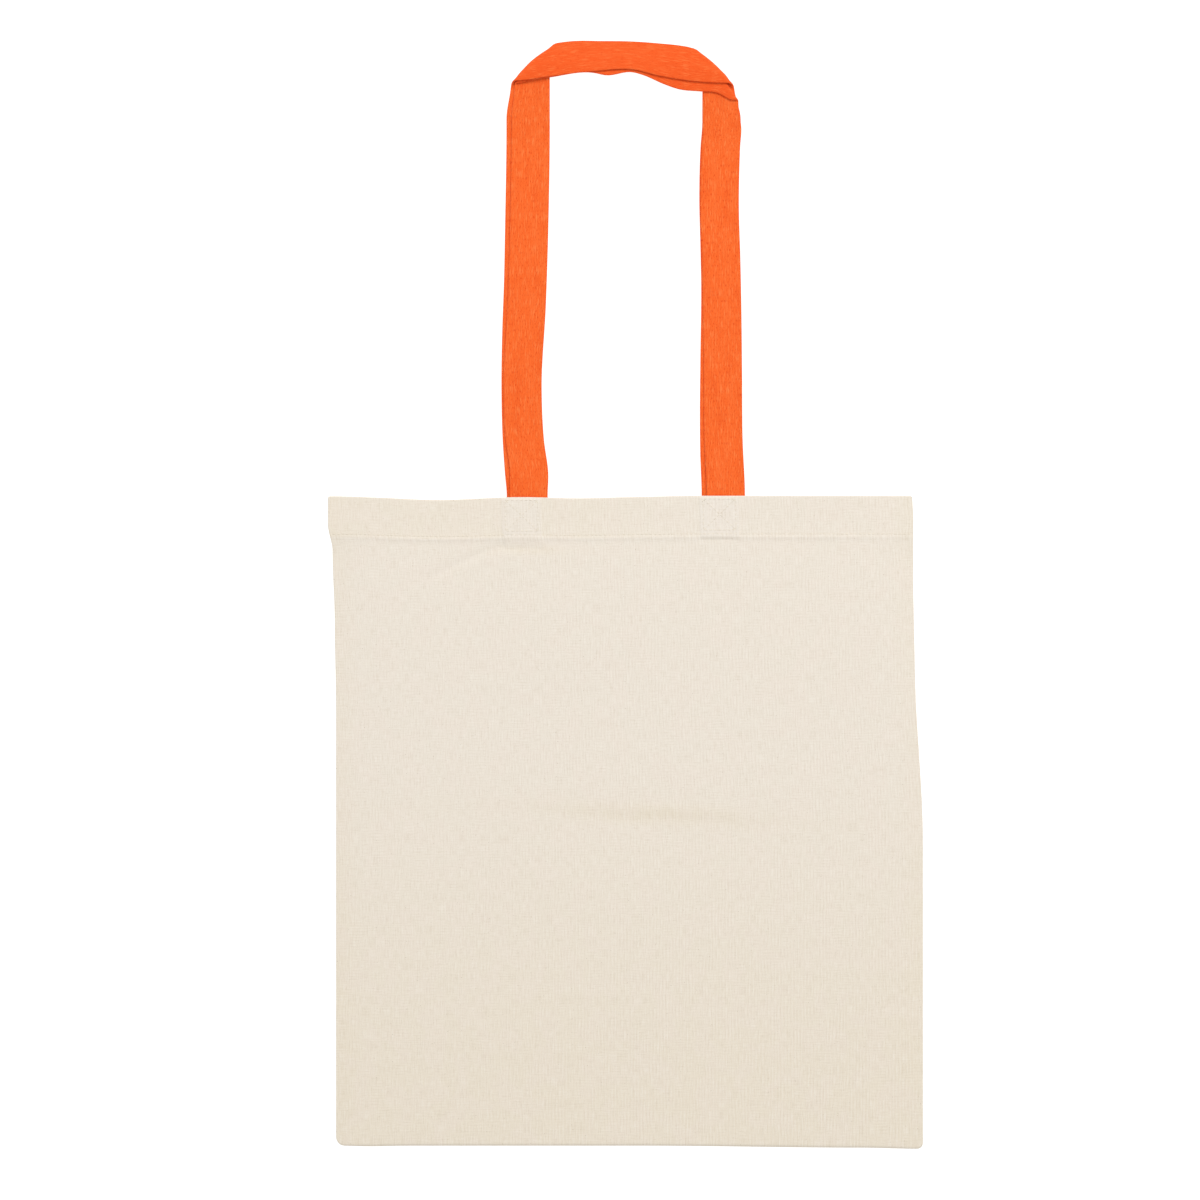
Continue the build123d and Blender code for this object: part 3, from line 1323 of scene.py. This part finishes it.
    def sew(self, name: str, panel: Panel, columns: Columns) -> bpy.types.Object:
        """Makes one piece of body cloth.

        Args:
            name: The piece's name.
            panel: Which face of the bag.
            columns: The lines up the cloth.

        Returns:
            The new piece.
        """
        rows = self.rows(panel)
        flat_across = columns.sign * (columns.across + 0.45 * columns.turn + columns.behind)
        flat = np.stack(np.broadcast_arrays(flat_across[None, :], rows.cut[:, None]), axis=-1)
        middle = self.middle(panel, rows, columns)
        keep = self.kept(rows, columns)
        half = self.lie.cloth / 2
        across = (columns.sign * columns.across)[None, :]
        tone = self.lie.tone(*np.broadcast_arrays(across, rows.along[:, None]))
        return thick_sheet(name, middle, half, flat, self.wardrobe.canvas, keep, tone)

    def build_back(self) -> bpy.types.Object:
        """Makes the back panel with its edges turned in at both sides.

        Returns:
            The new piece.
        """
        left = Columns.half(-1, self.reach, self.allowance)
        columns = left.joined(Columns.half(1, self.reach, self.allowance))
        back = self.sew("back_cloth", Panel.BACK, columns)
        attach(back, Panel.BACK.value)
        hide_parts("back_panel", "left_side_seam", "right_side_seam")
        return back

    def build_front(self, half: Half) -> bpy.types.Object:
        """Makes one half of the front panel.

        Args:
            half: Which half.

        Returns:
            The new piece.
        """
        columns = Columns.half(half.value, self.reach, self.allowance)
        front = self.sew(f"front_cloth_{half.name.lower()}", Panel.FRONT, columns)
        self.hang(front, half)
        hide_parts("front_panel", f"{half.name.lower()}_side_seam")
        size = (self.cut_width / 2, self.cut_length)
        return front

    def hang(self, piece: bpy.types.Object, half: Half) -> None:
        """Bakes the place of a piece of one front half into its mesh.

        Args:
            piece: The piece to hang.
            half: Which half it belongs to.
        """
        end = Vector((half.value * self.blend_end, 0, 0)) * METRE
        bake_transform(piece)


# -------------------------------------------------------------------------------------- stitching
@dataclass
class Stitching:
    """All the thread: the hem rows, the crossed boxes on the tape ends and the overlocking."""

    lie: Lie
    cloth: BodyCloth
    wardrobe: Wardrobe
    pitch: float = 2.9
    stitch: float = 2.25
    dip: float = 0.34  # how far a stitch's ends sink into the cloth
    stand: float = 0.10  # how far its middle's line stands off it
    stray: float = 0.10
    box_half_width: float = 10.5
    box_half_height: float = 10.0
    box_middle: float = 199.0
    overlock_pitch: float = 1.6
    overlock_reach: float = 2.4
    overlock_rise: float = 0.72
    hem_depth: float = 1.78  # from the outer face to the bobbin thread, through the hem
    box_depth: float = 2.95  # the same, through the hem and the tape

    def height(self, panel: Panel, inside: bool, x: Array, y: Array, depth: float) -> Array:
        """Returns the height of a stitched surface.

        Args:
            panel: Which face of the bag.
            inside: Whether the thread lies on the bag's inside.
            x: Places across the true rectangle.
            y: Places along it.
            depth: What lies between the outer face and the inside thread.

        Returns:
            The height of the surface that the thread lies on.
        """
        if panel is Panel.FRONT:
            return self.lie.face(x, y) - (depth if inside else 0.0)
        return self.cloth.dimples(x, y) + (depth if inside else 0.0)

    def run(
        self,
        work: ThreadWork,
        panel: Panel,
        start: tuple[float, float],
        end: tuple[float, float],
        inside: bool,
        depth: float,
    ) -> None:
        """Sews a straight row of stitches.

        Args:
            work: Where the thread is gathered.
            panel: Which face of the bag.
            start: Where the row starts.
            end: Where the row ends.
            inside: Whether the row shows on the bag's inside.
            depth: What lies between the outer face and the inside thread.
        """
        start, end = np.array(start, float), np.array(end, float)
        length = float(np.linalg.norm(end - start))
        count = max(1, round(length / self.pitch))
        share = np.linspace(0, 1, 7)
        long = self.stitch / self.pitch
        upward = 1.0 if (panel is Panel.FRONT) != inside else -1.0
        for number in range(count):
            along = (number + 0.5 + (share - 0.5) * long) / count
            flat = start + np.outer(along, end - start)
            drift = self.stray * WANDER.at(flat[:, 0], flat[:, 1])
            x, y = flat[:, 0] + drift * 0.4, flat[:, 1] + drift
            arch = np.sin(math.pi * share) ** 0.5
            z = self.height(panel, inside, x, y, depth)
            z = z + upward * (self.stand - self.dip * (1 - arch))
            x, y = self.lie.place(x, y)
            path = np.stack([x, y, z], axis=-1)
            work.lay(path, np.array([0.0, 0.0, upward]), 0.45 + 0.55 * arch)

    def finish(self, piece: bpy.types.Object, panel: Panel, half: Half | None) -> None:
        """Hangs a piece of thread on its panel, or bakes it in place with a front half.

        Args:
            piece: The piece of thread.
            panel: Which face of the bag it is sewn to.
            half: Which front half it belongs to, if it does.
        """
        if half is None:
            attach(piece, panel.value)
        else:
            self.cloth.hang(piece, half)

    def build_hem_rows(self, panel: Panel, half: Half) -> bpy.types.Object:
        """Makes half of a panel's hem row, needle thread outside and bobbin thread inside.

        Args:
            panel: Which face of the bag.
            half: Which half of the row.

        Returns:
            The new piece.
        """
        work = ThreadWork()
        y = self.lie.row_line
        start, end = (0.35 * half.value, y), (half.value * (self.cloth.reach - 0.8), y)
        for inside in (False, True):
            self.run(work, panel, start, end, inside, self.hem_depth)
        name = f"{panel.value}_hem_row_{half.name.lower()}"
        piece = work.cut(name, self.wardrobe.thread)
        self.finish(piece, panel, half if panel is Panel.FRONT else None)
        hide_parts(f"{panel.value}_hem_stitching")
        return piece

    def build_box(self, panel: Panel, half: Half) -> bpy.types.Object:
        """Makes the box of stitching with a cross that holds one end of tape.

        Args:
            panel: Which face of the bag.
            half: Which side of it.

        Returns:
            The new piece.
        """
        work = ThreadWork()
        middle = half.value * self.lie.sizes.leg
        left, right = middle - self.box_half_width, middle + self.box_half_width
        low, high = self.box_middle - self.box_half_height, self.box_middle + self.box_half_height
        runs = (
            ((left, low), (right, low)),
            ((right, low), (right, high)),
            ((right, high), (left, high)),
            ((left, high), (left, low)),
            ((left, low), (right, high)),
            ((right, low), (left, high)),
        )
        for start, end in runs:
            for inside in (False, True):
                self.run(work, panel, start, end, inside, self.box_depth)
        name = f"{panel.value}_{half.name.lower()}_box_thread"
        piece = work.cut(name, self.wardrobe.thread)
        self.finish(piece, panel, None)
        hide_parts(f"{panel.value}_{half.name.lower()}_box_stitching")
        return piece

    def build_overlock(self, half: Half) -> bpy.types.Object:
        """Makes the looped thread over the raw edges of one side seam.

        Args:
            half: Which side.

        Returns:
            The new piece.
        """
        low, high = self.cloth.hinge + 4, self.cloth.seam_end - 1
        count = round((high - low) / self.overlock_pitch) * 4
        phase = np.arange(count + 1) * math.pi / 2
        y = np.linspace(low, high, count + 1)
        raw = self.lie.sizes.side - self.cloth.allowance - 0.45
        x = half.value * (raw + self.overlock_reach / 2 * (1 - np.cos(phase)))
        middle = self.lie.gap(y) / 2
        z = middle + self.overlock_rise * np.sin(phase)
        x, y = self.lie.place(x, y)
        work = ThreadWork(radius=0.13, sides=5)
        work.lay(np.stack([x, y, z], axis=-1), np.array([0.0, 0.31, 0.95]))
        piece = work.cut(f"{half.name.lower()}_overlocking", self.wardrobe.thread)
        self.finish(piece, Panel.BACK, None)
        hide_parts(f"{half.name.lower()}_overlock_thread")
        return piece


# ---------------------------------------------------------------------------------------- handles
@dataclass
class Handle:
    """One length of tape: two legs up from the hem, and a bar between two folded corners.

    The back handle's corners wrap round the outside of the front handle's, so its bar lies on top.
    """

    lie: Lie
    wardrobe: Wardrobe
    panel: Panel
    fold: float  # radius of the folded corners, at the middle of the tape
    root: float  # height inside the hem
    floor: float  # height of the legs beyond the hem
    left: Knots  # the left leg's middle, by its place along the handle
    right: Knots
    low_edge: Knots  # the bar's two edges, by their place across
    top_edge: Knots
    pinch: tuple[float, float]  # how far each leg's outer edge moves in at its folded corner
    pinch_reach: float  # how far down the legs that starts
    thickness: float = 1.2
    leg: float = 62.0
    corner: tuple[float, float] = (49.0, 67.0)  # how far from the middle line the pinch sets in
    drawn_in: tuple[float, float] = (4.2, 2.6)  # how far each end of the bar's top moves in
    drawn_from: float = 49.5
    selvedge: float = 0.6  # width over which the tape thins to its edges
    spring: float = 3.6  # how far the folded corners and the bar spring up
    sway: float = 0.12
    curl: float = 0.22  # how far the legs curl across their width, a little above the mouth
    joint_start: float = 210.5
    joint_end: float = 218.5

    @property
    def bar_low(self) -> float:
        """The lower edge of the bar before it is shaped."""
        return self.lie.sizes.handle_top - 2 * self.lie.sizes.strap_half

    @property
    def fold_start(self) -> float:
        """Where the middle of the tape meets a corner's fold."""
        return self.leg - self.fold * math.pi / math.sqrt(2)

    @property
    def half_length(self) -> float:
        """Half the tape's cut length."""
        bar = self.lie.sizes.handle_top - self.lie.sizes.strap_half
        return self.leg + bar - self.lie.sizes.tab_low

    def strip(self) -> tuple[Array, Array]:
        """Lays out the flat tape's lines, which slant to follow the folds.

        Returns:
            The place along and across the tape at each crossing of two lines.
        """
        wide = self.lie.sizes.strap_half
        even = wide - self.selvedge
        across = spaced((-wide, -even, 0.15), (-even, even, 1.7), (even, wide, 0.15))
        end = self.fold_start + self.fold * math.pi * math.sqrt(2)
        along = spaced(
            (0, self.fold_start - 1, 2.2),
            (self.fold_start - 1, end + 1, 0.22 * self.fold + 0.12),
            (end + 1, end + 80, 2.2),
            (end + 80, self.half_length - 60, 3.2),
            (self.half_length - 60, self.half_length, 1.4),
        )
        along = np.concatenate([-along[:0:-1], along])[:, None]
        distance = np.abs(along)
        slant = ramp(distance, 6, self.fold_start - 2) * (1 - ramp(distance, end + 2, end + 48))
        return along - np.sign(along) * across[None, :] * slant, across[None, :] + 0 * along

    def folded(self, along: Array, across: Array) -> tuple[Array, Array, Array]:
        """Folds the flat strip at 45 degrees at both corners.

        Args:
            along: Places along the tape, from its middle.
            across: Places across the tape.

        Returns:
            The place across and along the bag, and the height above the legs.
        """
        bar = self.lie.sizes.handle_top - self.lie.sizes.strap_half
        past = (np.abs(along) - self.fold_start + across) / math.sqrt(2)
        angle = np.clip(past / self.fold, 0, math.pi)
        beyond = np.maximum(past - self.fold * math.pi, 0)
        inward = past - (self.fold * np.sin(angle) - beyond)
        inward = np.where(past < 0, 0, inward) / math.sqrt(2)
        x = np.sign(along) * (np.abs(along) - inward)
        return x, bar + across - inward, self.fold * (1 + np.cos(angle))

    def lay(self, x: Array, y: Array) -> tuple[Array, Array]:
        """Moves the folded tape to where it lies.

        Args:
            x: Places across the bag.
            y: Places along the bag.

        Returns:
            The moved places.
        """
        low, top, size = self.bar_low, self.lie.sizes.handle_top, np.abs(x)
        drift = (through(y, self.left) + self.leg) * (1 - ramp(x, -40, 40))
        drift = drift + (through(y, self.right) - self.leg) * ramp(x, -40, 40)
        pinched = np.where(x < 0, *self.pinch)
        narrow = pinched * ramp(size, *self.corner) * ramp(y, low - self.pinch_reach, low)
        narrow = narrow * (1 - 0.45 * ramp(y, low, low + 7))
        drawn = np.where(x < 0, *self.drawn_in) * np.clip(size / self.drawn_from, 0, 1)
        narrow = narrow + drawn * ramp(y, top - 14, top + 2)
        x = x - np.sign(x) * narrow + drift
        under, over = through(x, self.low_edge) - low, through(x, self.top_edge) - top
        share = np.clip((y - low) / (top - low), 0, 1)
        shift = np.where(y < low, under * ramp(y, low - 53, low), under + (over - under) * share)
        return x, y + shift

    def height(self, x: Array, y: Array, above: Array) -> Array:
        """Returns the height of the tape's middle.

        Args:
            x: Places across the bag, as it lies.
            y: Places along the bag, as it lies.
            above: Height above the legs that the folds give.

        Returns:
            The height above the surface that the bag lies on.
        """
        mouth = self.lie.sizes.mouth
        level = self.root + (self.floor - self.root) * ramp(y, mouth, mouth + 52)
        crest = self.bar_low + 1.5
        spring = np.where(y > crest, bump(y, crest, 19), bump(y, crest, 34))
        sway = self.sway * TAPE_SWAY.at(x, y) * ramp(y, mouth + 6, mouth + 40)
        curl = self.curl * bump(y, mouth + 72, 26) * np.sin(x / 4.2)
        return level + above + self.spring * spring + sway + curl

    def build(self) -> bpy.types.Object:
        """Makes the whole handle.

        Returns:
            The new piece.
        """
        along, across = self.strip()
        x, y, above = self.folded(along, across)
        x, y = self.lay(x, y)
        middle = np.stack([x, y, self.height(x, y, above)], axis=-1)
        even = self.lie.sizes.strap_half - self.selvedge
        edge = np.clip((np.abs(across) - even) / self.selvedge, 0, 1)
        half = self.thickness / 2 * np.sqrt(np.maximum(1 - edge**2, 0.02))
        flat = np.stack([across, along], axis=-1)
        name = f"{self.panel.value}_strap"
        strap = thick_sheet(name, middle, half, flat, self.wardrobe.tape)
        self.joint_start * METRE
        self.joint_end * METRE
        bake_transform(strap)
        ends = [f"{self.panel.value}_{half.name.lower()}_handle_end" for half in Half]
        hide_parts(f"{self.panel.value}_handle", *ends)
        size = (2 * self.lie.sizes.strap_half * METRE, 2 * self.half_length * METRE)
        return strap


def front_handle(lie: Lie, wardrobe: Wardrobe) -> Handle:
    """Shapes the front handle, whose folds are the inner ones.

    Args:
        lie: How the bag lies.
        wardrobe: The finishes.

    Returns:
        The handle, ready to build.
    """
    return Handle(
        lie,
        wardrobe,
        Panel.FRONT,
        fold=0.8,
        root=4.25,
        floor=2.9,
        left=(
            (211, -62.8), (226, -62.4), (248, -65.2), (281, -66.7), (335, -64.0), (385, -62.4),
            (456, -61.4),
        ),
        right=(
            (211, 65.4), (250, 63.9), (290, 63.6), (335, 63.1), (365, 62.5), (400, 61.5),
            (439, 62.3), (458, 63.1),
        ),
        pinch=(2.2, 2.0),
        pinch_reach=26,
        low_edge=(
            (-70, 479.2), (-60, 481.2), (-49, 482.8), (-20, 485.7), (-13, 484.2), (5, 486.1),
            (13, 483.8), (24, 478.9), (35, 475.1), (48, 473.8), (60, 472.8), (70, 468.2),
        ),
        top_edge=((-45, 500.5), (-20, 502.5), (20, 501.0), (45, 497.0)),
    )


def back_handle(lie: Lie, wardrobe: Wardrobe) -> Handle:
    """Shapes the back handle, whose folds wrap round the front handle's.

    Args:
        lie: How the bag lies.
        wardrobe: The finishes.

    Returns:
        The handle, ready to build.
    """
    return Handle(
        lie,
        wardrobe,
        Panel.BACK,
        fold=2.4,
        root=2.35,
        floor=1.35,
        left=(
            (211, -64.4), (226, -65.6), (248, -67.1), (281, -67.9), (322, -67.3), (350, -66.3),
            (385, -65.6), (456, -64.6),
        ),
        right=(
            (211, 62.3), (240, 61.4), (263, 61.2), (300, 61.5), (350, 62.0), (375, 61.5),
            (404, 60.8), (439, 61.6), (456, 62.7),
        ),
        pinch=(3.0, 4.4),
        pinch_reach=25,
        low_edge=(
            (-70, 480.6), (-49.5, 483.2), (-20, 486.6), (5, 487.7), (22.6, 483.5),
            (43.9, 480.2), (65.6, 479.0),
        ),
        top_edge=(
            (-50, 503.6), (-44, 505.3), (-36, 506.4), (-14, 506.6), (2.6, 506.4), (21.5, 505.1),
            (40, 502.9), (49, 500.8),
        ),
    )


# ----------------------------------------------------------------------------------------- studio
@dataclass
class Studio:
    """A white sweep, soft light from above the mouth, and a camera that looks straight down."""

    floor_half: float = 3.0
    floor_level: float = -0.0004
    camera_place: tuple[float, float, float] = (-0.0163, 0.1439, 2.17)
    lens: float = 100.0
    sensor: float = 36.0
    key_power: float = 62.0
    key_size: float = 1.6
    key_place: tuple[float, float, float] = (0.45, 2.25, 2.7)
    key_aim: tuple[float, float, float] = (0.0, 0.1, 0.0)
    sky: float = 0.69

    def build_floor(self) -> None:
        """Lays the paper that the bag lies on."""
        mesh = bpy.data.meshes.new("studio_floor")
        h, z = self.floor_half, self.floor_level
        mesh.from_pydata([(-h, -h, z), (h, -h, z), (h, h, z), (-h, h, z)], [], [(0, 1, 2, 3)])
        mesh.materials.append(StudioPaper().material())
        floor = bpy.data.objects.new("studio_floor", mesh)
        bpy.context.scene.collection.objects.link(floor)

    def build_lights(self) -> None:
        """Hangs the key light and lights the sky evenly."""
        light = bpy.data.lights.new("key", "AREA")
        light.shape = "DISK"
        light.size = self.key_size
        light.energy = self.key_power
        key = bpy.data.objects.new("key", light)
        key.location = self.key_place
        aim = Vector(self.key_aim) - key.location
        key.rotation_euler = aim.to_track_quat("-Z", "Y").to_euler()
        bpy.context.scene.collection.objects.link(key)
        world = bpy.data.worlds.new("studio")
        world.use_nodes = True
        sky = world.node_tree.nodes["Background"]
        sky.inputs["Color"].default_value = WHITE
        sky.inputs["Strength"].default_value = self.sky
        bpy.context.scene.world = world

    def build_camera(self) -> None:
        """Sets up the camera and plain colour handling."""
        data = bpy.data.cameras.new("camera")
        data.lens = self.lens
        data.sensor_width = self.sensor
        camera = bpy.data.objects.new("camera", data)
        camera.location = self.camera_place
        bpy.context.scene.collection.objects.link(camera)
        bpy.context.scene.camera = camera
        bpy.context.scene.view_settings.view_transform = "Standard"

    def build(self) -> None:
        """Builds the whole studio."""
        self.build_floor()
        self.build_lights()
        self.build_camera()


def main() -> None:
    """Builds the bag around the frame, and the studio around the bag."""
    logging.basicConfig(level=logging.INFO, format="%(name)s: %(message)s")
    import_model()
    lie = Lie(Sizes.read())
    wardrobe = Wardrobe()
    cloth = BodyCloth(lie, wardrobe)
    stitching = Stitching(lie, cloth, wardrobe)
    built = [cloth.build_back(), *(cloth.build_front(half) for half in Half)]
    for half in Half:
        for panel in Panel:
            built.append(stitching.build_hem_rows(panel, half))
            built.append(stitching.build_box(panel, half))
        built.append(stitching.build_overlock(half))
    built.append(front_handle(lie, wardrobe).build())
    built.append(back_handle(lie, wardrobe).build())
    Studio().build()
    for piece in built:
        LOG.info("%s is in place", piece.name)
    bpy.context.view_layer.update()


if __name__ == "__main__":
    main()
